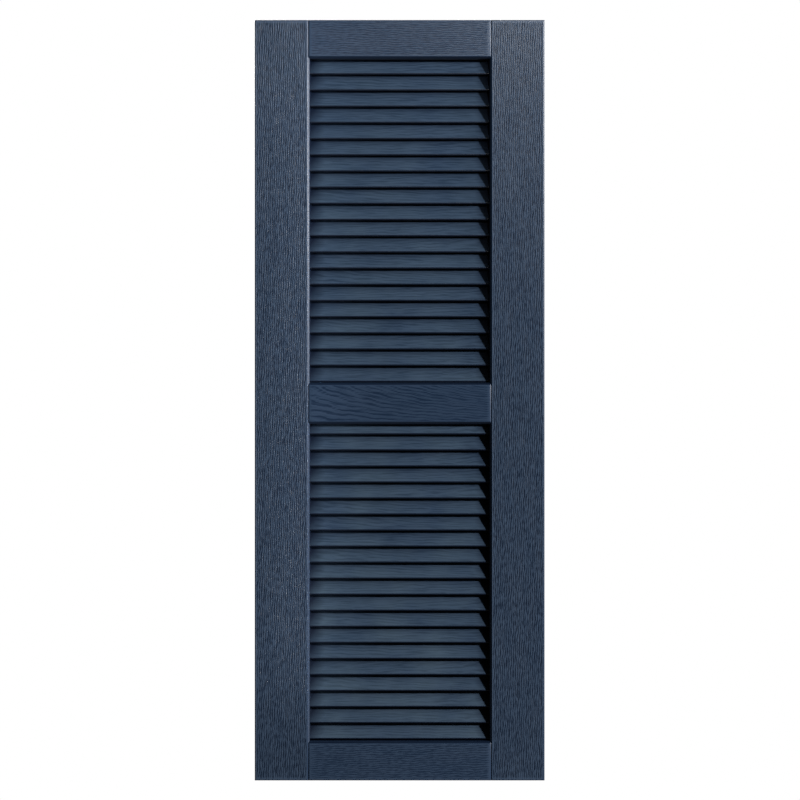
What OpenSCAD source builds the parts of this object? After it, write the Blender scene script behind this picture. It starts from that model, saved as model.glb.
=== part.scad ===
// A fixed louvred shutter panel for a house wall, moulded in one piece.
// The front faces -Y, the back plane is y = 0, and Z is up. The origin is the middle of the back plane.
// One shell makes the two stiles, the three rails and both fields of louvres; it is hollow from behind.

/* [Overall size] */
// Width of the panel at its back plane (mm)
panel_w = 378; // [280:0.1:460]
// Height of the panel at its back plane (mm)
panel_h = 990.6; // [600:0.1:2000]
// Thickness from the back plane to the face of the stiles and rails (mm)
panel_t = 25.4; // [22:0.1:40]

/* [Stiles and rails] */
// Width of each stile, from the panel's edge to the joint line (mm)
stile_w = 70; // [40:0.5:90]
// Height of the top rail's flat face (mm)
top_rail_h = 47.5; // [30:0.5:90]
// Height of the middle rail's flat face (mm)
mid_rail_h = 47.5; // [30:0.5:90]
// Height of the bottom rail's flat face (mm)
bottom_rail_h = 48.5; // [30:0.5:90]
// How far the middle rail's centre lies below the panel's mid-height (mm)
mid_rail_drop = 4; // [-150:0.5:150]

/* [Edges] */
// Radius of the panel's outer front edges (mm)
edge_r = 1.5; // [0.5:0.1:2]
// Depth of the V-groove along each joint line, which is twice as wide (mm)
groove_depth = 1.3; // [0.8:0.1:2]
// Depth of the 45 degree bevel around each opening (mm)
bevel = 3; // [1.5:0.1:4]
// Draft of the panel's outer sides (degrees)
side_draft = 1; // [0.5:0.5:3]
// Draft of the walls inside each opening (degrees)
wall_draft = 6; // [2:0.5:8]

/* [Louvres] */
// Distance from louvre to louvre in the upper opening (mm)
upper_pitch = 21.1; // [18:0.1:40]
// Distance from louvre to louvre in the lower opening (mm)
lower_pitch = 20.9; // [18:0.1:40]
// Depth of each louvre's nose below the face (mm)
nose_depth = 7.5; // [4:0.1:9]
// Depth of each louvre's top edge below the face (mm)
blade_depth = 17.5; // [13:0.1:18.5]
// Height of the upright front of each nose (mm)
nose_h = 1.4; // [1:0.1:3]
// Rounding of the two edges of each nose (mm)
nose_r = 0.7; // [0.2:0.1:1]
// Drop of each louvre's underside from front to back (mm)
shelf_drop = 0.7; // [0.3:0.1:2]
// Gap between the middle rail's bevel and the first nose above it (mm)
upper_sill_gap = 1.3; // [1:0.1:10]
// Gap between the bottom rail's bevel and the first nose above it (mm)
lower_sill_gap = 2.3; // [1:0.1:10]

/* [Shell] */
// Thickness of the moulded skin (mm)
skin_t = 2.5; // [2:0.1:3]
// Thickness of the stiffening ribs behind the panel (mm)
rib_t = 2; // [1.5:0.1:3]
// Number of upright ribs behind the rails and louvres
upright_ribs = 3; // [1:2:7]
// Distance between the cross ribs behind each stile (mm)
cross_rib_pitch = 110; // [60:1:200]

/* [Hidden] */
shell_color = [0.13, 0.19, 0.28];
// How far a cut runs past the surface it opens.
past = 1;
// Number of chords in a rounded outer edge, and in each edge of a nose.
edge_steps = 6;
nose_steps = 4;

// Half width of the flat faces' opening, measured on the face.
groove_x = panel_w / 2 - stile_w;
opening_x = groove_x + groove_depth;

// Heights of the openings' face edges.
lower_z0 = -panel_h / 2 + bottom_rail_h;
lower_z1 = -mid_rail_drop - mid_rail_h / 2;
upper_z0 = -mid_rail_drop + mid_rail_h / 2;
upper_z1 = panel_h / 2 - top_rail_h;

// Heights of the lowest nose in each opening.
lower_nose_z = lower_z0 + bevel + lower_sill_gap;
upper_nose_z = upper_z0 + bevel + upper_sill_gap;

// How far an opening has closed in, from its face edge, at the louvres' top edges.
deep_inset = bevel + (blade_depth - bevel) * tan(wall_draft);

// Half width of the hollows behind the rails and the louvres.
hollow_x = opening_x - deep_inset;
bay_pitch = 2 * hollow_x / (upright_ribs + 1);
cross_ribs = floor((panel_h - 2 * skin_t) / cross_rib_pitch);

// Half size of the panel's outside at a depth below the face.
function outer_half(half, depth) = half - (panel_t - depth) * tan(side_draft);

// Half size of the rim's inner side at a depth below the face.
function rim_half(half, depth) = outer_half(half, depth) - skin_t / cos(side_draft);

// How far the back of an opening's wall lies inside the face edge, at a depth below the face.
function wall_inset(depth) = bevel + (depth - bevel) * tan(wall_draft) - skin_t / cos(wall_draft);

// The rounded front edge of the outside, from the side to the face, as points across and through.
function edge_arc(half) =
    let (across = outer_half(half, edge_r) - edge_r / cos(side_draft))
    [for (i = [0 : edge_steps])
        let (angle = side_draft + (90 - side_draft) * i / edge_steps)
        [across + edge_r * cos(angle), edge_r * (1 - sin(angle)) - panel_t]];

// The same points on the other side, from the face back to the side.
function mirrored(points) =
    [for (i = [len(points) - 1 : -1 : 0]) [-points[i].x, points[i].y]];

// The panel's solid outline across one of its two directions.
function outside_section(half) =
    concat([[-half, 0], [half, 0]], edge_arc(half), mirrored(edge_arc(half)));

// An opening between two face edges: bevels, then drafted walls down to the louvres' top edges.
function opening_section(low, high) = [
    [low - past, -past - panel_t],
    [low + bevel, bevel - panel_t],
    [low + deep_inset, blade_depth - panel_t],
    [high - deep_inset, blade_depth - panel_t],
    [high - bevel, bevel - panel_t],
    [high + past, -past - panel_t]
];

// Angles of a louvre: its face from upright, and its underside from level.
function blade_lean(pitch) = atan((blade_depth - nose_depth) / (pitch - nose_h - shelf_drop));
shelf_lean = atan(shelf_drop / (blade_depth - nose_depth));

// One louvre's outline going up, from the back of its underside round its nose.
function nose_points(nose_z, pitch) =
    let (
        lean = blade_lean(pitch),
        centre = nose_depth + nose_r,
        low = nose_z + nose_r / cos(shelf_lean) - nose_r * tan(shelf_lean),
        high = nose_z + nose_h - nose_r * tan(lean / 2)
    )
    concat(
        [[blade_depth, nose_z - shelf_drop]],
        [for (i = [0 : nose_steps])
            let (angle = 270 - shelf_lean - (90 - shelf_lean) * i / nose_steps)
            [centre + nose_r * cos(angle), low + nose_r * sin(angle)]],
        [for (i = [0 : nose_steps])
            let (angle = 180 - lean * i / nose_steps)
            [centre + nose_r * cos(angle), high + nose_r * sin(angle)]]
    );

// The louvres' outline from below the lowest nose to past a height, moved by a depth and a height.
function louvre_line(lowest, high, pitch, move_depth, move_z) =
    let (count = ceil((high - lowest) / pitch))
    [for (k = [-1 : count]) each
        [for (p = nose_points(lowest + k * pitch, pitch))
            [p.x + move_depth - panel_t, p.y + move_z]]];

// How far the back of the louvres' skin lies behind and above its front.
function skin_back(pitch) =
    skin_t * (cos(shelf_lean) + sin(blade_lean(pitch))) / cos(blade_lean(pitch) - shelf_lean);
function skin_rise(pitch) =
    (skin_t - skin_back(pitch) * sin(shelf_lean)) / cos(shelf_lean);

// Closes a line of louvres into an area, with its straight side at one depth.
function close_line(line, side_y) =
    concat([[side_y, line[0].y]], line, [[side_y, line[len(line) - 1].y]]);

// Stands a section of depths and heights upright and runs it across the panel, centred.
module run_across(width) {
    translate([-width / 2, 0, 0])
        rotate([90, 0, 90])
            linear_extrude(height = width)
                children();
}

// Runs a section of widths and depths up the panel.
module run_up(low, high) {
    translate([0, 0, low])
        linear_extrude(height = high - low)
            children();
}

// The solid block that the panel is cut from, with its drafted sides and rounded front edges.
module outside_block() {
    intersection() {
        run_up(-panel_h / 2, panel_h / 2)
            polygon(outside_section(panel_w / 2));
        run_across(panel_w)
            polygon([for (p = outside_section(panel_h / 2)) [p.y, p.x]]);
    }
}

// The V-groove along a joint line, where a stile meets the rails.
module joint_groove(x) {
    cut = groove_depth + past;
    run_up(-panel_h / 2 - past, panel_h / 2 + past)
        polygon([
            [x - cut, -past - panel_t],
            [x, groove_depth - panel_t],
            [x + cut, -past - panel_t]
        ]);
}

// The room in front of one field of louvres, between its bevels and walls.
module opening(low, high, lowest, pitch) {
    intersection() {
        run_up(low - 2 * past, high + 2 * past)
            polygon(opening_section(-opening_x, opening_x));
        run_across(panel_w)
            polygon([for (p = opening_section(low, high)) [p.y, p.x]]);
        run_across(panel_w)
            polygon(close_line(louvre_line(lowest, high, pitch, 0, 0), -2 * past - panel_t));
    }
}

// The upright ribs, which the hollows behind the rails and louvres leave standing.
module upright_rib_plates() {
    for (i = [1 : upright_ribs])
        translate([i * bay_pitch - hollow_x - rib_t / 2, -panel_t, -panel_h / 2])
            cube([rib_t, panel_t + 2 * past, panel_h]);
}

// The hollow behind one field of louvres, which follows their shape.
module field_hollow(low, high, lowest, pitch) {
    difference() {
        intersection() {
            translate([-hollow_x, -panel_t, low + deep_inset])
                cube([2 * hollow_x, panel_t + past, high - low - 2 * deep_inset]);
            run_across(panel_w)
                polygon(close_line(
                    louvre_line(lowest, high, pitch, skin_back(pitch), skin_rise(pitch)),
                    2 * past
                ));
        }
        upright_rib_plates();
    }
}

// The hollow behind a rail. Each side is given as its height at the skin and at the back.
module rail_hollow(low_front, low_back, high_front, high_back) {
    difference() {
        run_across(2 * hollow_x)
            polygon([
                [skin_t - panel_t, low_front],
                [past, low_back],
                [past, high_back],
                [skin_t - panel_t, high_front]
            ]);
        upright_rib_plates();
    }
}

// The hollows behind the bottom, middle and top rails.
module rail_hollows() {
    front = wall_inset(skin_t);
    back = wall_inset(panel_t + past);
    rim_front = rim_half(panel_h / 2, skin_t);
    rim_back = rim_half(panel_h / 2, panel_t + past);
    rail_hollow(-rim_front, -rim_back, lower_z0 + front, lower_z0 + back);
    rail_hollow(lower_z1 - front, lower_z1 - back, upper_z0 + front, upper_z0 + back);
    rail_hollow(upper_z1 - front, upper_z1 - back, rim_front, rim_back);
}

// The hollow behind the stile on the +X side, crossed by its ribs.
module stile_hollow() {
    difference() {
        intersection() {
            run_up(-panel_h / 2, panel_h / 2)
                polygon([
                    [opening_x - wall_inset(skin_t), skin_t - panel_t],
                    [rim_half(panel_w / 2, skin_t), skin_t - panel_t],
                    [rim_half(panel_w / 2, panel_t + past), past],
                    [opening_x - wall_inset(panel_t + past), past]
                ]);
            run_across(panel_w)
                polygon([
                    [skin_t - panel_t, -rim_half(panel_h / 2, skin_t)],
                    [past, -rim_half(panel_h / 2, panel_t + past)],
                    [past, rim_half(panel_h / 2, panel_t + past)],
                    [skin_t - panel_t, rim_half(panel_h / 2, skin_t)]
                ]);
        }
        for (i = [1 : cross_ribs])
            translate([0, -panel_t, (i - (cross_ribs + 1) / 2) * cross_rib_pitch - rib_t / 2])
                cube([panel_w, panel_t + 2 * past, rib_t]);
    }
}

module shutter_panel() {
    color(shell_color)
        difference() {
            outside_block();
            joint_groove(groove_x);
            joint_groove(-groove_x);
            opening(lower_z0, lower_z1, lower_nose_z, lower_pitch);
            opening(upper_z0, upper_z1, upper_nose_z, upper_pitch);
            field_hollow(lower_z0, lower_z1, lower_nose_z, lower_pitch);
            field_hollow(upper_z0, upper_z1, upper_nose_z, upper_pitch);
            rail_hollows();
            stile_hollow();
            mirror([1, 0, 0])
                stile_hollow();
        }
}

shutter_panel();
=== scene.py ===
"""A louvred shutter panel, moulded in one piece with an embossed wood grain.

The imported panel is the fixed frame. A copy of it gets softened edges and the embossed grain of each
board as real relief, then its finishes, and stands in for the plain one.
"""

import math
import random

import bmesh
import bpy
import numpy
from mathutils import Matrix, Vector


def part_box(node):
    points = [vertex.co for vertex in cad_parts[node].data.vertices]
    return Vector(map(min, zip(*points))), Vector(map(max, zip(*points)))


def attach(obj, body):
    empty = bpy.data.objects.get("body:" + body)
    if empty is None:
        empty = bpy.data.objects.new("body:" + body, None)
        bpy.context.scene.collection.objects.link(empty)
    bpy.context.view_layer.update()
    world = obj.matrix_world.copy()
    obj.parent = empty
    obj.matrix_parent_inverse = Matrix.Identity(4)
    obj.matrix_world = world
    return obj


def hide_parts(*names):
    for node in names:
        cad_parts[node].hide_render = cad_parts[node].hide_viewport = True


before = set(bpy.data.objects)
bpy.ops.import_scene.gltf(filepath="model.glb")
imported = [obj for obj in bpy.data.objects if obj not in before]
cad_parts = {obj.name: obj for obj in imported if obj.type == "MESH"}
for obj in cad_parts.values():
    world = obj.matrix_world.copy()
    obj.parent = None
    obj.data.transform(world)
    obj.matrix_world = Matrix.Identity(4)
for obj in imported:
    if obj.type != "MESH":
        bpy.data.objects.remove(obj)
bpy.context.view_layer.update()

bl_info = {
    "name": "Louvred shutter panel",
    "version": (1, 0, 0),
    "blender": (4, 5, 0),
    "location": "View3D > Sidebar > Shutter",
    "description": "Builds a moulded shutter panel with an embossed grain, its finish and its stage",
    "category": "Object",
}

NODE = "shutter_panel"
PIECE = "louvred_panel"
GRAIN_MAP = "grain"
LINE_MAP = "lines"
PRESSED = "pressed"
MM = 0.001
# Two places closer than this are the same place.
SAME = 0.01 * MM
# A place this near a board's plane lies on the board.
ON_BOARD = 3 * SAME

LOW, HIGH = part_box(NODE)
FACE_Y = LOW.y
WIDTH = HIGH.x - LOW.x
HEIGHT = HIGH.z - LOW.z
CENTRE = (LOW + HIGH) / 2

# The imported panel's own sizes: how wide its stiles are, and how far behind the face the bevels end
# and the louvres' noses and backs lie.
STILE_WIDTH = 70 * MM
BEVEL = 3 * MM
NOSE_DEPTH = 7.5 * MM
LOUVRE_DEPTH = 17.5 * MM
OPENING_HALF = WIDTH / 2 - STILE_WIDTH

# Kinds of surface, in the order of the piece's material slots.
STILE, RAIL, MID_RAIL, LOUVRE, PLAIN, EDGE = range(6)
BOARD_NAMES = {STILE: "stile", RAIL: "rail", MID_RAIL: "mid_rail", LOUVRE: "louvre"}

# Faces that meet at less than this angle are one flat surface.
FLAT_ANGLE = math.radians(0.3)
# Edges sharper than this are rounded, from the face to just behind the bevels.
CORNER_ANGLE = math.radians(30)
ROUNDED_DEPTH = BEVEL + 0.2 * MM
# Faces that meet at less than this angle are shaded as one curved surface.
SMOOTH_ANGLE = math.radians(32)

# The smallest face, in square metres, that is a board.
BOARD_AREA = 0.001
# A stile or rail faces the front at least this much, and a louvre this much and this much upwards.
STRAIGHT_FRONT = 0.999
LOUVRE_FRONT = 0.5
LOUVRE_UP = 0.3
# A level edge runs this many times further sideways than up, down or back.
LEVEL_SHARE = 3

# Cuts made across and along each kind of board, one after another.
ACROSS_CUTS = {STILE: (51, 1), RAIL: (31, 1), MID_RAIL: (31, 1), LOUVRE: (19,)}
ALONG_CUTS = {STILE: (70, 1, 1), RAIL: (49,), MID_RAIL: (49,), LOUVRE: (23,)}

# How far each kind of board's grain swings to and fro. Two waves make the swing, each with its length,
# the distance across the board that shifts it by one radian, and its share.
SWING = {STILE: 0.6 * MM, RAIL: 0.6 * MM, MID_RAIL: 0.5 * MM, LOUVRE: 0.5 * MM}
SWING_WAVES = ((47 * MM, 7 * MM, 1.0), (19 * MM, -5 * MM, 0.6))

# How much the grain leans, least and most, and how that changes from the board's middle to its long edges.
LEAN = {STILE: (0, 0), RAIL: (-0.03, 0.03), MID_RAIL: (0.26, 0.26), LOUVRE: (-0.14, 0.14)}
LEAN_MIDDLE = 0.6
LEAN_CHANGE = 0.4

# Distance between the lines of the grain, and the length over which their pattern changes.
LINE_SPACING = {STILE: 2.8 * MM, RAIL: 2.9 * MM, MID_RAIL: 4.6 * MM, LOUVRE: 4.0 * MM}
LINE_LENGTH = 180 * MM
# Boards with broad streaks instead of lines, and each kind's share of the full depth of the ticks.
STREAKED = (MID_RAIL, LOUVRE)
TICK_SHARE = {STILE: 1, RAIL: 1, MID_RAIL: 0.3, LOUVRE: 0.3}
# Each board's grain is cut from its own place, up to this many units from the pattern's start.
TICK_START = 40
LINE_START = 9
# The band pattern repeats each time the sum of its two coordinates grows by this.
BAND_REPEAT = math.tau / 20

# How much rougher the plastic is where its tone is palest and where the dust and painted sheen are
# strongest.
TONE_ROUGHNESS = 0.06
DUST_AND_SHEEN_ROUGHNESS = 0.25
# A colour mix node's two colour inputs and its colour output, after those for numbers and vectors.
MIX_COLORS = (6, 7)
MIX_RESULT = 2

# The floor and the surroundings look pale to the camera and give the panel hardly any light.
FLOOR_SEEN = (0.85, 0.85, 0.85)
FLOOR_UNSEEN = (0.05, 0.05, 0.05)
WORLD_SEEN = {"Color": (1, 1, 1, 1), "Strength": 1.0}
WORLD_UNSEEN = {"Color": (0.9, 0.95, 1, 1), "Strength": 0.006}

# The camera stands this far right of and above the panel's middle.
CAMERA_RIGHT = 0.44 * MM
CAMERA_UP = 0.3 * MM


class ShutterPanelSettings(bpy.types.PropertyGroup):
    """Sizes of the panel's softened edges and embossed grain."""

    edge_round: bpy.props.FloatProperty(
        name="Edge rounding", description="Rounding of the boards' edges",
        default=0.4 * MM, unit="LENGTH",
    )
    tick_spacing: bpy.props.FloatProperty(
        name="Tick spacing", description="Width of one cell of the grain, across the board",
        default=1.25 * MM, unit="LENGTH",
    )
    tick_length: bpy.props.FloatProperty(
        name="Tick length", description="Length of one cell of the grain, along the board",
        default=7.0 * MM, unit="LENGTH",
    )
    line_depth: bpy.props.FloatProperty(
        name="Line depth", description="Depth of the grain's lines", default=0.16 * MM, unit="LENGTH"
    )
    tick_depth: bpy.props.FloatProperty(
        name="Tick depth", description="Depth of the grain's ticks", default=0.11 * MM, unit="LENGTH"
    )
    grain_seed: bpy.props.IntProperty(
        name="Grain seed", description="Chooses where each board's grain is cut from", default=7
    )


class ShutterFinishSettings(bpy.types.PropertyGroup):
    """Colour and gloss of the moulded plastic, and the colours of the shade, highlight and sheen painted on
    it.
    """

    plastic_color: bpy.props.FloatVectorProperty(
        name="Plastic", description="Colour of the plastic through and through", subtype="COLOR",
        size=3, default=(0.0135, 0.0285, 0.0590),
    )
    pale_color: bpy.props.FloatVectorProperty(
        name="Pale plastic", description="Colour of the paler clouds in the plastic", subtype="COLOR",
        size=3, default=(0.0165, 0.0320, 0.0640),
    )
    # Painted shade: the grain's pressed hollows are coloured darker.
    pressed_shade_color: bpy.props.FloatVectorProperty(
        name="Pressed grain", description="Colour of the grime in the pressed grain", subtype="COLOR",
        size=3, default=(0.0015, 0.0070, 0.0200),
    )
    # Painted highlight: the grain's ridges are coloured lighter.
    raised_highlight_color: bpy.props.FloatVectorProperty(
        name="Raised grain", description="Colour of the painted highlight on the grain's ridges", subtype="COLOR",
        size=3, default=(0.0350, 0.0570, 0.0950),
    )
    # Partly dust, partly painted sheen: what faces up, and more so what hangs low, is coloured lighter.
    dust_and_sheen_color: bpy.props.FloatVectorProperty(
        name="Dust", description="Colour of the thin dust on what faces up", subtype="COLOR",
        size=3, default=(0.085, 0.130, 0.160),
    )
    # Painted shade, mixed into the louvres' sheltered corners, the ledges and deep inside the fields, and
    # evenly into the middle rail.
    painted_shade_color: bpy.props.FloatVectorProperty(
        name="Painted shade", description="Colour of the grime in the louvres' sheltered corners", subtype="COLOR",
        size=3, default=(0.003, 0.007, 0.018),
    )
    roughness: bpy.props.FloatProperty(
        name="Roughness", description="Roughness of the grained faces", default=0.31, min=0, max=1
    )


class ShutterStageSettings(bpy.types.PropertyGroup):
    """Places of the camera and the key light, and size of the floor."""

    camera_distance: bpy.props.FloatProperty(
        name="Camera distance", description="Distance from the camera to the panel",
        default=5.0, unit="LENGTH",
    )
    camera_lens: bpy.props.FloatProperty(
        name="Camera lens", description="Focal length of the camera in millimetres", default=172.9
    )
    key_distance: bpy.props.FloatProperty(
        name="Key distance", description="Distance from the key light to the panel",
        default=6.0, unit="LENGTH",
    )
    key_turn: bpy.props.FloatProperty(
        name="Key turn", description="How far to the right the key light stands",
        default=math.radians(48), subtype="ANGLE",
    )
    key_rise: bpy.props.FloatProperty(
        name="Key rise", description="How far above the panel's middle the key light stands",
        default=math.radians(15), subtype="ANGLE",
    )
    floor_drop: bpy.props.FloatProperty(
        name="Floor drop", description="Gap between the hanging panel and the floor",
        default=0.3, unit="LENGTH",
    )
    floor_radius: bpy.props.FloatProperty(
        name="Floor radius", description="Radius of the round floor", default=2.4, unit="LENGTH"
    )


# ---------------------------------------------------------------- modelling


def start_edit(piece, mode):
    """Opens only this piece in edit mode, with nothing selected."""
    bpy.ops.object.select_all(action="DESELECT")
    bpy.context.view_layer.objects.active = piece
    piece.select_set(True)
    bpy.ops.object.mode_set(mode="EDIT")
    bpy.ops.mesh.select_mode(type=mode)
    bpy.ops.mesh.select_all(action="DESELECT")


def end_edit():
    """Closes the open piece."""
    bpy.ops.object.mode_set(mode="OBJECT")


def select_edges(piece, wanted):
    """Selects the open piece's edges that pass a test."""
    mesh = bmesh.from_edit_mesh(piece.data)
    for edge in mesh.edges:
        if wanted(edge):
            edge.select_set(True)
    bmesh.update_edit_mesh(piece.data, loop_triangles=False, destructive=False)


def copy_of_frame():
    """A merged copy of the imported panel, with each flat surface one face."""
    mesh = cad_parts[NODE].data.copy()
    mesh.name = PIECE
    mesh.materials.clear()
    piece = bpy.data.objects.new(PIECE, mesh)
    bpy.context.scene.collection.objects.link(piece)
    start_edit(piece, "VERT")
    bpy.ops.mesh.customdata_custom_splitnormals_clear()
    bpy.ops.mesh.select_all(action="SELECT")
    bpy.ops.mesh.remove_doubles(threshold=SAME)
    bpy.ops.mesh.dissolve_limited(angle_limit=FLAT_ANGLE)
    end_edit()
    return piece


def soften_edges(piece, width):
    """Rounds the sharp edges of the boards, bevels and grooves near the face."""

    def wanted(edge):
        shallow = max(vert.co.y for vert in edge.verts) < FACE_Y + ROUNDED_DEPTH
        return shallow and edge.calc_face_angle(0) > CORNER_ANGLE

    start_edit(piece, "EDGE")
    select_edges(piece, wanted)
    bpy.ops.mesh.bevel(
        offset=width, segments=2, profile=0.5, affect="EDGES", clamp_overlap=True, material=EDGE
    )
    end_edit()


def kind_of(face):
    """Which kind of board a face of the merged panel belongs to, by its place and normal."""
    if face.area < BOARD_AREA:
        return EDGE if face.material_index == EDGE else PLAIN
    if face.center.y < FACE_Y + SAME and face.normal.y < -STRAIGHT_FRONT:
        if abs(face.center.x) > WIDTH / 4:
            return STILE
        return MID_RAIL if abs(face.center.z) < HEIGHT / 4 else RAIL
    if face.normal.y < -LOUVRE_FRONT and face.normal.z > LOUVRE_UP:
        return LOUVRE
    return PLAIN


class Board:
    """One flat board of the panel, with the middle and directions that its grain is laid from."""

    def __init__(self, kind, corners, normal):
        self.kind = kind
        self.normal = numpy.array(normal)
        self.along = numpy.array((0.0, 0, 1) if kind == STILE else (1.0, 0, 0))
        self.across = numpy.cross(self.along, self.normal)
        self.middle = numpy.mean(corners, axis=0)
        self.half_along = abs((corners - self.middle) @ self.along).max()
        self.half_across = abs((corners - self.middle) @ self.across).max()

    def margin(self, places):
        """How far inside this board's outline each place is; below nothing when it's off the board."""
        offset = places - self.middle
        along = self.half_along - abs(offset @ self.along)
        across = self.half_across - abs(offset @ self.across)
        on_board = abs(offset @ self.normal) < ON_BOARD
        return numpy.where(on_board, numpy.minimum(along, across), -1)

    def grain_at(self, places, settings, chance):
        """Where each place lies on the ticks' map and the lines' map, which swing and lean as grain does."""
        offset = places - self.middle
        along = offset @ self.along
        across = offset @ self.across
        swing = 0
        for length, shift, share in SWING_WAVES:
            start = chance.uniform(0, math.tau)
            swing = swing + share * numpy.sin(math.tau * along / length + start + across / shift)
        lean = chance.uniform(*LEAN[self.kind]) * (LEAN_MIDDLE - LEAN_CHANGE * across / self.half_across)
        across = across + SWING[self.kind] * swing - lean * along
        ticks = (
            across / settings.tick_spacing + chance.uniform(-TICK_START, TICK_START),
            along / settings.tick_length + chance.uniform(-TICK_START, TICK_START),
        )
        down = along / LINE_LENGTH + chance.uniform(-LINE_START, LINE_START)
        lines = (across / LINE_SPACING[self.kind] * BAND_REPEAT - down, down)
        return numpy.stack(ticks, axis=1), numpy.stack(lines, axis=1)


def mark_boards(piece):
    """Sets each face's material slot and returns the boards."""
    mesh = piece.data
    found = []
    for face in mesh.polygons:
        face.material_index = kind_of(face)
        if face.material_index in BOARD_NAMES:
            # Rounded to a tenth of a millimetre, so that boards side by side are sorted by their sides.
            height = round(face.center.z, 4)
            aside = round(face.center.x, 4)
            found.append((face.material_index, height, aside, face.index))
    boards = []
    for kind, _, _, index in sorted(found):
        face = mesh.polygons[index]
        corners = numpy.array([mesh.vertices[i].co for i in face.vertices])
        boards.append(Board(kind, corners, face.normal))
    return boards


def is_level(edge):
    """Whether an edge runs from side to side."""
    step = edge.verts[0].co - edge.verts[1].co
    return abs(step.x) > LEVEL_SHARE * (abs(step.y) + abs(step.z))


def cut_edges(piece, kind, level, cuts):
    """Cuts the level or the other edges of one kind of board, once for each count."""

    def wanted(edge):
        on_board = any(face.material_index == kind for face in edge.link_faces)
        return on_board and is_level(edge) == level

    for count in cuts:
        start_edit(piece, "EDGE")
        select_edges(piece, wanted)
        bpy.ops.mesh.subdivide(number_cuts=count, quadcorner="STRAIGHT_CUT", ngon=True)
        end_edit()


def cut_boards(piece):
    """Cuts every board into a fine grid, so that it can carry the grain's relief."""
    for kind in BOARD_NAMES:
        upright_board = kind == STILE
        cut_edges(piece, kind, upright_board, ACROSS_CUTS[kind])
        cut_edges(piece, kind, not upright_board, ALONG_CUTS[kind])


def numbers(items, field, width=1, kind=float):
    """Reads one field of every item of a mesh list as an array; width is how many numbers it holds."""
    values = numpy.empty(len(items) * width, dtype=kind)
    items.foreach_get(field, values)
    return values.reshape(-1, width) if width > 1 else values


def corner_owners(mesh):
    """The face and the vertex that each face corner of a mesh belongs to."""
    counts = numbers(mesh.polygons, "loop_total", kind=int)
    faces = numpy.repeat(numpy.arange(len(mesh.polygons)), counts)
    return faces, numbers(mesh.loops, "vertex_index", kind=int)


def lay_grain(piece, boards, settings):
    """Lays every board's grain map, and weighs its vertices: full inside it, nothing at its outline."""
    # The weight grows in this many equal steps over this distance from the outline.
    fade = 1.5 * MM
    levels = 12
    chance = random.Random(settings.grain_seed)
    mesh = piece.data
    places = numbers(mesh.vertices, "co", width=3)
    centres = numbers(mesh.polygons, "center", width=3)
    face_of_corner, vertex_of_corner = corner_owners(mesh)
    ticks = numpy.zeros((len(mesh.loops), 2), dtype=numpy.float32)
    lines = numpy.zeros((len(mesh.loops), 2), dtype=numpy.float32)
    groups = {kind: piece.vertex_groups.new(name=name) for kind, name in BOARD_NAMES.items()}
    for board in boards:
        on_board = board.margin(centres) > 0
        corners = numpy.nonzero(on_board[face_of_corner])[0]
        own_places = places[vertex_of_corner[corners]]
        ticks[corners], lines[corners] = board.grain_at(own_places, settings, chance)
        weight = numpy.clip(board.margin(places) / fade, 0, 1)
        steps = numpy.ceil(weight * levels).astype(int)
        for step in range(1, levels + 1):
            own = numpy.nonzero(steps == step)[0].tolist()
            groups[board.kind].add(own, step / levels, "REPLACE")
    for name, values in ((GRAIN_MAP, ticks), (LINE_MAP, lines)):
        mesh.uv_layers.new(name=name, do_init=False)
        mesh.uv_layers[name].uv.foreach_set("vector", values.ravel())


def grain_texture(name, kind, scale, dark, light):
    """A grain pattern cut from noise: nothing below the dark level, full above the light one."""
    texture = bpy.data.textures.new(name, kind)
    texture.noise_scale = scale
    texture.use_color_ramp = True
    ramp = texture.color_ramp
    ramp.interpolation = "EASE"
    ramp.elements[0].position = dark
    ramp.elements[0].color = (0, 0, 0, 1)
    ramp.elements[1].position = light
    ramp.elements[1].color = (1, 1, 1, 1)
    return texture


def band_texture(name, scale, dark, light, turbulence):
    """Wavy bands that run along the board."""
    texture = grain_texture(name, "WOOD", scale, dark, light)
    texture.wood_type = "BANDNOISE"
    texture.noise_basis_2 = "SIN"
    texture.turbulence = turbulence
    return texture


def press(piece, kind, texture, grain_map, depth):
    """Presses a pattern into one kind of board; never outwards."""
    modifier = piece.modifiers.new("press", "DISPLACE")
    modifier.texture = texture
    modifier.texture_coords = "UV"
    modifier.uv_layer = grain_map
    modifier.vertex_group = BOARD_NAMES[kind]
    modifier.mid_level = 1
    modifier.strength = depth
    bpy.context.view_layer.objects.active = piece
    bpy.ops.object.modifier_apply(modifier=modifier.name)


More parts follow.
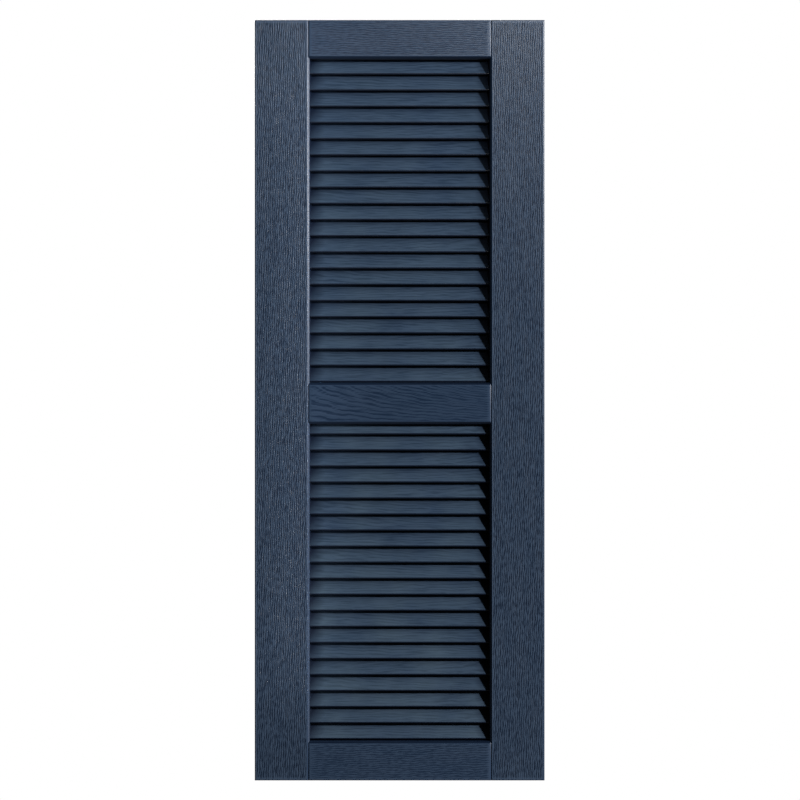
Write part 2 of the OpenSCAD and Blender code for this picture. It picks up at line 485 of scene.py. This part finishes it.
def emboss(piece, boards, settings):
    """Presses lines and ticks into every board, and notes on each vertex how far it was pressed."""
    lay_grain(piece, boards, settings)
    mesh = piece.data
    before = numbers(mesh.vertices, "co", width=3)
    ticks = grain_texture("ticks", "CLOUDS", scale=2, dark=0.34, light=0.66)
    ticks.noise_basis = "IMPROVED_PERLIN"
    ticks.noise_depth = 1
    lines = band_texture("lines", scale=0.18, dark=0.25, light=0.75, turbulence=1.8)
    streaks = band_texture("streaks", scale=0.45, dark=0.05, light=0.5, turbulence=3.2)
    tick_depth = {kind: settings.tick_depth * TICK_SHARE[kind] for kind in BOARD_NAMES}
    for kind in BOARD_NAMES:
        bands = streaks if kind in STREAKED else lines
        press(piece, kind, bands, LINE_MAP, settings.line_depth)
        press(piece, kind, ticks, GRAIN_MAP, tick_depth[kind])
    moved = numpy.linalg.norm(numbers(mesh.vertices, "co", width=3) - before, axis=1)
    deepest = numpy.full(len(mesh.vertices), settings.line_depth + settings.tick_depth)
    kinds = numbers(mesh.polygons, "material_index", kind=int)
    face_of_corner, vertex_of_corner = corner_owners(mesh)
    for kind in BOARD_NAMES:
        own = vertex_of_corner[kinds[face_of_corner] == kind]
        deepest[own] = settings.line_depth + tick_depth[kind]
    pressed = mesh.attributes.new(PRESSED, "FLOAT", "POINT")
    pressed.data.foreach_set("value", (moved / deepest).astype(numpy.float32))
    mesh.uv_layers.remove(mesh.uv_layers[LINE_MAP])
    piece.vertex_groups.clear()


def shade(piece):
    """Smooths the relief and keeps the corners crisp."""
    bpy.ops.object.select_all(action="DESELECT")
    bpy.context.view_layer.objects.active = piece
    piece.select_set(True)
    bpy.ops.object.shade_smooth_by_angle(angle=SMOOTH_ANGLE, keep_sharp_edges=False)


# ---------------------------------------------------------------- materials


def add(tree, kind, values=None, **settings):
    """Adds a node to a tree, sets its fields and its input values."""
    node = tree.nodes.new(kind)
    for name, value in settings.items():
        setattr(node, name, value)
    for name, value in (values or {}).items():
        node.inputs[name].default_value = value
    return node


def new_group(name, inputs, outputs):
    """A node group with sockets for numbers; returns it with its input and output nodes."""
    group = bpy.data.node_groups.new(name, "ShaderNodeTree")
    for label, value in inputs.items():
        socket = group.interface.new_socket(name=label, in_out="INPUT", socket_type="NodeSocketFloat")
        socket.default_value = value
    for label in outputs:
        group.interface.new_socket(name=label, in_out="OUTPUT", socket_type="NodeSocketFloat")
    return group, add(group, "NodeGroupInput"), add(group, "NodeGroupOutput")


def math_node(tree, operation, first, second=0.0):
    """A maths node; each operand is a socket to link or a number to set."""
    node = add(tree, "ShaderNodeMath", operation=operation)
    for index, operand in enumerate((first, second)):
        if isinstance(operand, bpy.types.NodeSocket):
            tree.links.new(operand, node.inputs[index])
        else:
            node.inputs[index].default_value = operand
    return node.outputs[0]


def spread(tree, value, low, high):
    """Stretches a value so that low becomes nothing and high becomes one."""
    node = add(tree, "ShaderNodeMapRange", {"From Min": low, "From Max": high}, clamp=True)
    tree.links.new(value, node.inputs["Value"])
    return node.outputs["Result"]


def axes(tree, vector):
    """The X, Y and Z sockets of a vector socket."""
    node = add(tree, "ShaderNodeSeparateXYZ")
    tree.links.new(vector, node.inputs[0])
    return node.outputs


def grain_group():
    """Fine lines along the board's grain map: a height for the bump, a tone and a mask of raised lines."""
    group, enter, leave = new_group(
        "Embossed grain",
        {"Across": 1.0, "Along": 1.0, "Line share": 0.35},
        ("Height", "Tone", "Raised"),
    )
    where = add(group, "ShaderNodeUVMap", uv_map=GRAIN_MAP)
    stretch = add(group, "ShaderNodeCombineXYZ")
    group.links.new(enter.outputs["Across"], stretch.inputs["X"])
    group.links.new(enter.outputs["Along"], stretch.inputs["Y"])
    stretched = add(group, "ShaderNodeVectorMath", operation="MULTIPLY")
    group.links.new(where.outputs["UV"], stretched.inputs[0])
    group.links.new(stretch.outputs[0], stretched.inputs[1])
    line_values = {"Scale": 1.0, "Detail": 2.0, "Roughness": 0.55, "Distortion": 0.3}
    lines = add(group, "ShaderNodeTexNoise", line_values)
    group.links.new(stretched.outputs[0], lines.inputs["Vector"])
    clouds = add(group, "ShaderNodeTexNoise", {"Scale": 0.08, "Detail": 2.0})
    group.links.new(where.outputs["UV"], clouds.inputs["Vector"])
    fine = spread(group, lines.outputs["Fac"], low=0.32, high=0.68)
    group.links.new(fine, leave.inputs["Height"])
    tone = spread(group, clouds.outputs["Fac"], low=0.3, high=0.7)
    group.links.new(tone, leave.inputs["Tone"])
    pressed = add(group, "ShaderNodeAttribute", attribute_name=PRESSED)
    depth = add(group, "ShaderNodeMix", data_type="FLOAT")
    group.links.new(enter.outputs["Line share"], depth.inputs["Factor"])
    group.links.new(pressed.outputs["Fac"], depth.inputs["A"])
    group.links.new(math_node(group, "SUBTRACT", 1.0, fine), depth.inputs["B"])
    sunk = spread(group, depth.outputs["Result"], low=0.28, high=0.72)
    group.links.new(math_node(group, "SUBTRACT", 1.0, sunk), leave.inputs["Raised"])
    return group


def dust_and_sheen_group():
    """A mask of thin dust and painted sheen: patchy, and stronger the more a surface faces up and the lower
    it hangs.
    """
    film_at_top = 0.6
    more_at_bottom = 0.9
    group, enter, leave = new_group("Dust and sheen film", {"Amount": 0.5}, ("Mask",))
    geometry = add(group, "ShaderNodeNewGeometry")
    facing = axes(group, geometry.outputs["Normal"])
    coordinates = add(group, "ShaderNodeTexCoord")
    place = axes(group, coordinates.outputs["Object"])
    patches = add(group, "ShaderNodeTexNoise", {"Scale": 14.0, "Detail": 4.0, "Roughness": 0.55})
    group.links.new(coordinates.outputs["Object"], patches.inputs["Vector"])
    # Faces turned up are lighter: partly dust, partly painted sheen.
    upward = spread(group, facing["Z"], low=0.05, high=0.85)
    patchy = spread(group, patches.outputs["Fac"], low=0.2, high=0.75)
    # Lighter towards the bottom: painted sheen.
    hung = spread(group, place["Z"], low=HIGH.z, high=LOW.z)
    film_strength = math_node(group, "ADD", math_node(group, "MULTIPLY", hung, more_at_bottom), film_at_top)
    mask = math_node(group, "MULTIPLY", math_node(group, "MULTIPLY", upward, patchy), film_strength)
    group.links.new(math_node(group, "MULTIPLY", mask, enter.outputs["Amount"]), leave.inputs["Mask"])
    return group


def corner_shade_group():
    """A mask of painted shade in the louvres' sheltered corners: deep under the nose above, and at both
    ends.
    """
    # The deep painted shade starts between nose and back, and is full at the back.
    deep_start = NOSE_DEPTH + 3 * MM
    deep_full = LOUVRE_DEPTH + 0.3 * MM
    deep_curve = 2.0
    deep_strength = 0.85
    # The painted shade at the ends starts and is full this far out, where each depth counts as so much
    # further out.
    end_start = OPENING_HALF - 3 * MM
    end_full = OPENING_HALF + 18 * MM
    end_curve = 0.9
    slant = 1.6
    group, enter, leave = new_group("Painted corner shade", {"Amount": 1.0}, ("Mask",))
    coordinates = add(group, "ShaderNodeTexCoord")
    place = axes(group, coordinates.outputs["Object"])
    depth = math_node(group, "SUBTRACT", place["Y"], FACE_Y)
    outward = math_node(group, "ABSOLUTE", place["X"])
    slanted = math_node(group, "ADD", outward, math_node(group, "MULTIPLY", depth, slant))
    ends = math_node(group, "POWER", spread(group, slanted, end_start, end_full), end_curve)
    deep = math_node(group, "POWER", spread(group, depth, deep_start, deep_full), deep_curve)
    both = math_node(group, "MAXIMUM", ends, math_node(group, "MULTIPLY", deep, deep_strength))
    group.links.new(math_node(group, "MULTIPLY", both, enter.outputs["Amount"]), leave.inputs["Mask"])
    return group


def ledge_shade_group():
    """A mask of painted shade: faces turned up or down, and everything deep inside the louvred fields."""
    deep_start = FACE_Y + BEVEL - 0.8 * MM
    deep_full = FACE_Y + BEVEL + 1 * MM
    # It stays between the stiles and between the outer ends of the rails, and off what faces backwards.
    half_width = OPENING_HALF + 3 * MM
    half_height = HEIGHT / 2 - 30 * MM
    backward = 0.3
    group, enter, leave = new_group("Painted ledge shade", {"Amount": 1.0}, ("Mask",))
    geometry = add(group, "ShaderNodeNewGeometry")
    facing = axes(group, geometry.outputs["Normal"])
    coordinates = add(group, "ShaderNodeTexCoord")
    place = axes(group, coordinates.outputs["Object"])
    ledges = spread(group, math_node(group, "ABSOLUTE", facing["Z"]), low=0.2, high=0.7)
    deep = spread(group, place["Y"], deep_start, deep_full)
    both = math_node(group, "MAXIMUM", ledges, deep)
    outward = math_node(group, "ABSOLUTE", place["X"])
    between_stiles = math_node(group, "LESS_THAN", outward, half_width)
    from_middle = math_node(group, "ABSOLUTE", place["Z"])
    between_rails = math_node(group, "LESS_THAN", from_middle, half_height)
    front = math_node(group, "LESS_THAN", facing["Y"], backward)
    inside = math_node(group, "MULTIPLY", between_stiles, between_rails)
    mask = math_node(group, "MULTIPLY", both, math_node(group, "MULTIPLY", inside, front))
    group.links.new(math_node(group, "MULTIPLY", mask, enter.outputs["Amount"]), leave.inputs["Mask"])
    return group


def mould_group():
    """Plain moulded surface: a very fine texture for the bump and soft clouds of tone."""
    group, _, leave = new_group("Moulded skin", {}, ("Height", "Tone"))
    coordinates = add(group, "ShaderNodeTexCoord")
    skin = add(group, "ShaderNodeTexNoise", {"Scale": 600.0, "Detail": 2.0})
    clouds = add(group, "ShaderNodeTexNoise", {"Scale": 9.0, "Detail": 3.0})
    for node in (skin, clouds):
        group.links.new(coordinates.outputs["Object"], node.inputs["Vector"])
    group.links.new(skin.outputs["Fac"], leave.inputs["Height"])
    tone = spread(group, clouds.outputs["Fac"], low=0.3, high=0.7)
    group.links.new(tone, leave.inputs["Tone"])
    return group


def mix(tree, amount, first, second):
    """Mixes two colours; each is a socket to link or a colour to set."""
    node = add(tree, "ShaderNodeMix", data_type="RGBA")
    if isinstance(amount, bpy.types.NodeSocket):
        tree.links.new(amount, node.inputs["Factor"])
    else:
        node.inputs["Factor"].default_value = amount
    for slot, operand in zip(MIX_COLORS, (first, second)):
        if isinstance(operand, bpy.types.NodeSocket):
            tree.links.new(operand, node.inputs[slot])
        else:
            node.inputs[slot].default_value = (*operand, 1)
    return node.outputs[MIX_RESULT]


def plastic(
    name, finish, groups, bump_depth, dust_and_sheen, sheen,
    contrast=0.0, lines=(1.0, 1.0, 0.35), painted_shade=0.0, shaded=0.0,
):
    """One finish of the moulded plastic; one without contrast is a plain surface without grain.

    The lines are the fine lines' stretch across and along the board and their share of its colour.
    """
    material = bpy.data.materials.new(name)
    material.use_nodes = True
    tree = material.node_tree
    tree.nodes.clear()
    leave = add(tree, "ShaderNodeOutputMaterial")
    shader = add(tree, "ShaderNodeBsdfPrincipled", {"IOR": 1.5, "Specular IOR Level": sheen})
    tree.links.new(shader.outputs["BSDF"], leave.inputs["Surface"])
    surface = add(tree, "ShaderNodeGroup", node_tree=groups["grain" if contrast else "mould"])
    film = add(tree, "ShaderNodeGroup", node_tree=groups["dust_and_sheen"])
    film.inputs["Amount"].default_value = dust_and_sheen
    color = mix(tree, surface.outputs["Tone"], tuple(finish.plastic_color), tuple(finish.pale_color))
    if contrast:
        for label, value in zip(("Across", "Along", "Line share"), lines):
            surface.inputs[label].default_value = value
        # Painted shade in the pressed grain and painted highlight on its ridges.
        grain = mix(tree, surface.outputs["Raised"], tuple(finish.pressed_shade_color), tuple(finish.raised_highlight_color))
        color = mix(tree, contrast, color, grain)
    # Dust and painted sheen lighten what faces up and hangs low.
    color = mix(tree, film.outputs["Mask"], color, tuple(finish.dust_and_sheen_color))
    # An even painted shade, which makes this finish a darker copy of the same plastic.
    if shaded:
        color = mix(tree, shaded, color, tuple(finish.painted_shade_color))
    # Painted shade in the louvres' sheltered corners, or on the plain surfaces' ledges and deep inside the
    # fields.
    if painted_shade:
        corners = add(tree, "ShaderNodeGroup", node_tree=groups["corner_shade" if contrast else "ledge_shade"])
        corners.inputs["Amount"].default_value = painted_shade
        color = mix(tree, corners.outputs["Mask"], color, tuple(finish.painted_shade_color))
    tree.links.new(color, shader.inputs["Base Color"])
    uneven = math_node(tree, "MULTIPLY", surface.outputs["Tone"], TONE_ROUGHNESS)
    dust_and_sheen_rough = math_node(tree, "MULTIPLY", film.outputs["Mask"], DUST_AND_SHEEN_ROUGHNESS)
    start = math_node(tree, "ADD", uneven, finish.roughness)
    tree.links.new(math_node(tree, "ADD", start, dust_and_sheen_rough), shader.inputs["Roughness"])
    bump = add(tree, "ShaderNodeBump", {"Strength": 1.0, "Distance": bump_depth})
    tree.links.new(surface.outputs["Height"], bump.inputs["Height"])
    tree.links.new(bump.outputs["Normal"], shader.inputs["Normal"])
    return material


def make_finishes(finish):
    """The finish of every kind of surface, in the order of the material slots."""
    groups = {
        "grain": grain_group(),
        "dust_and_sheen": dust_and_sheen_group(),
        "corner_shade": corner_shade_group(),
        "ledge_shade": ledge_shade_group(),
        "mould": mould_group(),
    }
    finishes = {
        STILE: plastic(
            "stile_plastic", finish, groups, bump_depth=0.05 * MM, dust_and_sheen=0.2, sheen=0.5, contrast=0.95
        ),
        RAIL: plastic(
            "rail_plastic", finish, groups, bump_depth=0.04 * MM, dust_and_sheen=0.1, sheen=0.4, contrast=0.55
        ),
        # The middle rail's plastic is evenly darkened: painted shade.
        MID_RAIL: plastic(
            "mid_rail_plastic", finish, groups, bump_depth=0.02 * MM, dust_and_sheen=0.1, sheen=0.15,
            contrast=0.5, lines=(0.9, 0.3, 0.45), shaded=0.12,
        ),
        # The louvres get the most painted sheen, and painted shade in their corners.
        LOUVRE: plastic(
            "louvre_plastic", finish, groups, bump_depth=0.02 * MM, dust_and_sheen=0.5, sheen=0.35,
            contrast=0.5, lines=(1.1, 0.25, 0.55), painted_shade=1.0,
        ),
        # Plain surfaces get painted shade on their ledges and deep inside the fields.
        PLAIN: plastic(
            "plain_plastic", finish, groups, bump_depth=0.01 * MM, dust_and_sheen=0.0, sheen=0.4, painted_shade=1.0
        ),
        EDGE: plastic("edge_plastic", finish, groups, bump_depth=0.01 * MM, dust_and_sheen=0.1, sheen=0.25),
    }
    return [finishes[kind] for kind in sorted(finishes)]


# ---------------------------------------------------------------- stage


def area_light(name, place, target, size, power, spread_angle=180):
    """A soft light at a place, aimed at a target; a rectangle, or a disk when it has one size."""
    light = bpy.data.lights.new(name, "AREA")
    light.shape = "RECTANGLE" if len(size) == 2 else "DISK"
    light.size = size[0]
    if len(size) == 2:
        light.size_y = size[1]
    light.energy = power
    light.spread = math.radians(spread_angle)
    lamp = bpy.data.objects.new(name, light)
    lamp.location = place
    lamp.rotation_euler = (Vector(target) - Vector(place)).to_track_quat("-Z", "Y").to_euler()
    bpy.context.scene.collection.objects.link(lamp)


def add_lights(stage):
    """The key light, which throws the right stile's shadow on the louvres, and the lights that help it."""
    key_place = (
        stage.key_distance * math.cos(stage.key_rise) * math.sin(stage.key_turn),
        -stage.key_distance * math.cos(stage.key_rise) * math.cos(stage.key_turn),
        stage.key_distance * math.sin(stage.key_rise),
    )
    middle = (0, 0, 0)
    area_light("key_light", key_place, middle, size=(0.35,), power=540)
    area_light(
        "side_light", (1.3, -0.28, 0.62), target=(0, 0, 0.5), size=(0.25, 0.35), power=1.5, spread_angle=70
    )
    area_light("far_side_light", (1.6, -0.35, 0.2), middle, size=(0.4, 1.0), power=6)
    area_light(
        "top_light", (0.55, -2.1, 1.05), target=(0.1, 0, 0.62), size=(0.4, 0.3), power=0.41, spread_angle=30
    )
    area_light(
        "left_stile_light", (0.35, -0.78, 0.06), target=(-0.15, 0, 0.06), size=(0.05, 0.9), power=0.13,
        spread_angle=12,
    )
    area_light("back_light", (-0.6, 2.6, 1.4), middle, size=(1.5, 1.5), power=200)


def add_floor(stage):
    """The round floor under the hanging panel."""
    bpy.ops.mesh.primitive_circle_add(
        vertices=96, radius=stage.floor_radius, fill_type="NGON",
        location=(CENTRE.x, CENTRE.y, LOW.z - stage.floor_drop),
    )
    floor = bpy.context.object
    floor.name = "floor"
    pale = bpy.data.materials.new("pale_floor")
    pale.use_nodes = True
    tree = pale.node_tree
    tree.nodes.clear()
    leave = add(tree, "ShaderNodeOutputMaterial")
    shader = add(tree, "ShaderNodeBsdfPrincipled", {"Roughness": 0.8})
    rays = add(tree, "ShaderNodeLightPath")
    color = mix(tree, rays.outputs["Is Camera Ray"], FLOOR_UNSEEN, FLOOR_SEEN)
    tree.links.new(color, shader.inputs["Base Color"])
    tree.links.new(shader.outputs["BSDF"], leave.inputs["Surface"])
    floor.data.materials.append(pale)


def add_surroundings():
    """White surroundings for the camera, nearly dark ones for the panel."""
    world = bpy.data.worlds.new("white_surroundings")
    world.use_nodes = True
    tree = world.node_tree
    tree.nodes.clear()
    leave = add(tree, "ShaderNodeOutputWorld")
    seen = add(tree, "ShaderNodeBackground", WORLD_SEEN)
    unseen = add(tree, "ShaderNodeBackground", WORLD_UNSEEN)
    rays = add(tree, "ShaderNodeLightPath")
    choose = add(tree, "ShaderNodeMixShader")
    tree.links.new(rays.outputs["Is Camera Ray"], choose.inputs[0])
    tree.links.new(unseen.outputs[0], choose.inputs[1])
    tree.links.new(seen.outputs[0], choose.inputs[2])
    tree.links.new(choose.outputs[0], leave.inputs["Surface"])
    bpy.context.scene.world = world


def add_camera(stage):
    """The camera straight in front of the panel."""
    camera_data = bpy.data.cameras.new("camera")
    camera_data.sensor_width = 36
    camera_data.lens = stage.camera_lens
    camera = bpy.data.objects.new("camera", camera_data)
    camera.location = (CAMERA_RIGHT, FACE_Y - stage.camera_distance, CAMERA_UP)
    camera.rotation_euler = (math.radians(90), 0, 0)
    bpy.context.scene.collection.objects.link(camera)
    bpy.context.scene.camera = camera


# ---------------------------------------------------------------- operators


class SHUTTER_OT_panel(bpy.types.Operator):
    """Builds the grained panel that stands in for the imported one"""

    bl_idname = "shutter.panel"
    bl_label = "Build panel"

    def execute(self, context):
        settings = context.scene.shutter_panel
        finishes = make_finishes(context.scene.shutter_finish)
        piece = copy_of_frame()
        for material in finishes:
            piece.data.materials.append(material)
        soften_edges(piece, settings.edge_round)
        boards = mark_boards(piece)
        if len(boards) < len(BOARD_NAMES):
            self.report({"ERROR"}, "The panel's boards were not found")
            return {"CANCELLED"}
        cut_boards(piece)
        emboss(piece, boards, settings)
        shade(piece)
        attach(piece, "root")
        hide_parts(NODE)
        return {"FINISHED"}


class SHUTTER_OT_stage(bpy.types.Operator):
    """Adds the floor, the lights, the white surroundings and the camera"""

    bl_idname = "shutter.stage"
    bl_label = "Build stage"

    def execute(self, context):
        stage = context.scene.shutter_stage
        add_floor(stage)
        add_surroundings()
        add_lights(stage)
        add_camera(stage)
        context.scene.view_settings.view_transform = "Standard"
        return {"FINISHED"}


class SHUTTER_PT_panel(bpy.types.Panel):
    """Lists the shutter's sizes, finish and stage, with their operators"""

    bl_idname = "SHUTTER_PT_panel"
    bl_label = "Louvred shutter"
    bl_space_type = "VIEW_3D"
    bl_region_type = "UI"
    bl_category = "Shutter"

    def draw(self, context):
        scene = context.scene
        for settings in (scene.shutter_panel, scene.shutter_finish, scene.shutter_stage):
            box = self.layout.box()
            for name in settings.__annotations__:
                box.prop(settings, name)
        self.layout.operator(SHUTTER_OT_panel.bl_idname)
        self.layout.operator(SHUTTER_OT_stage.bl_idname)


CLASSES = (
    ShutterPanelSettings,
    ShutterFinishSettings,
    ShutterStageSettings,
    SHUTTER_OT_panel,
    SHUTTER_OT_stage,
    SHUTTER_PT_panel,
)


def register():
    """Adds the settings, the operators and their panel to the program."""
    for item in CLASSES:
        bpy.utils.register_class(item)
    bpy.types.Scene.shutter_panel = bpy.props.PointerProperty(type=ShutterPanelSettings)
    bpy.types.Scene.shutter_finish = bpy.props.PointerProperty(type=ShutterFinishSettings)
    bpy.types.Scene.shutter_stage = bpy.props.PointerProperty(type=ShutterStageSettings)


def unregister():
    """Takes out what register added."""
    del bpy.types.Scene.shutter_stage
    del bpy.types.Scene.shutter_finish
    del bpy.types.Scene.shutter_panel
    for item in reversed(CLASSES):
        bpy.utils.unregister_class(item)


def main():
    """Builds the panel and its stage."""
    register()
    bpy.ops.shutter.panel()
    bpy.ops.shutter.stage()


if __name__ == "__main__":
    main()
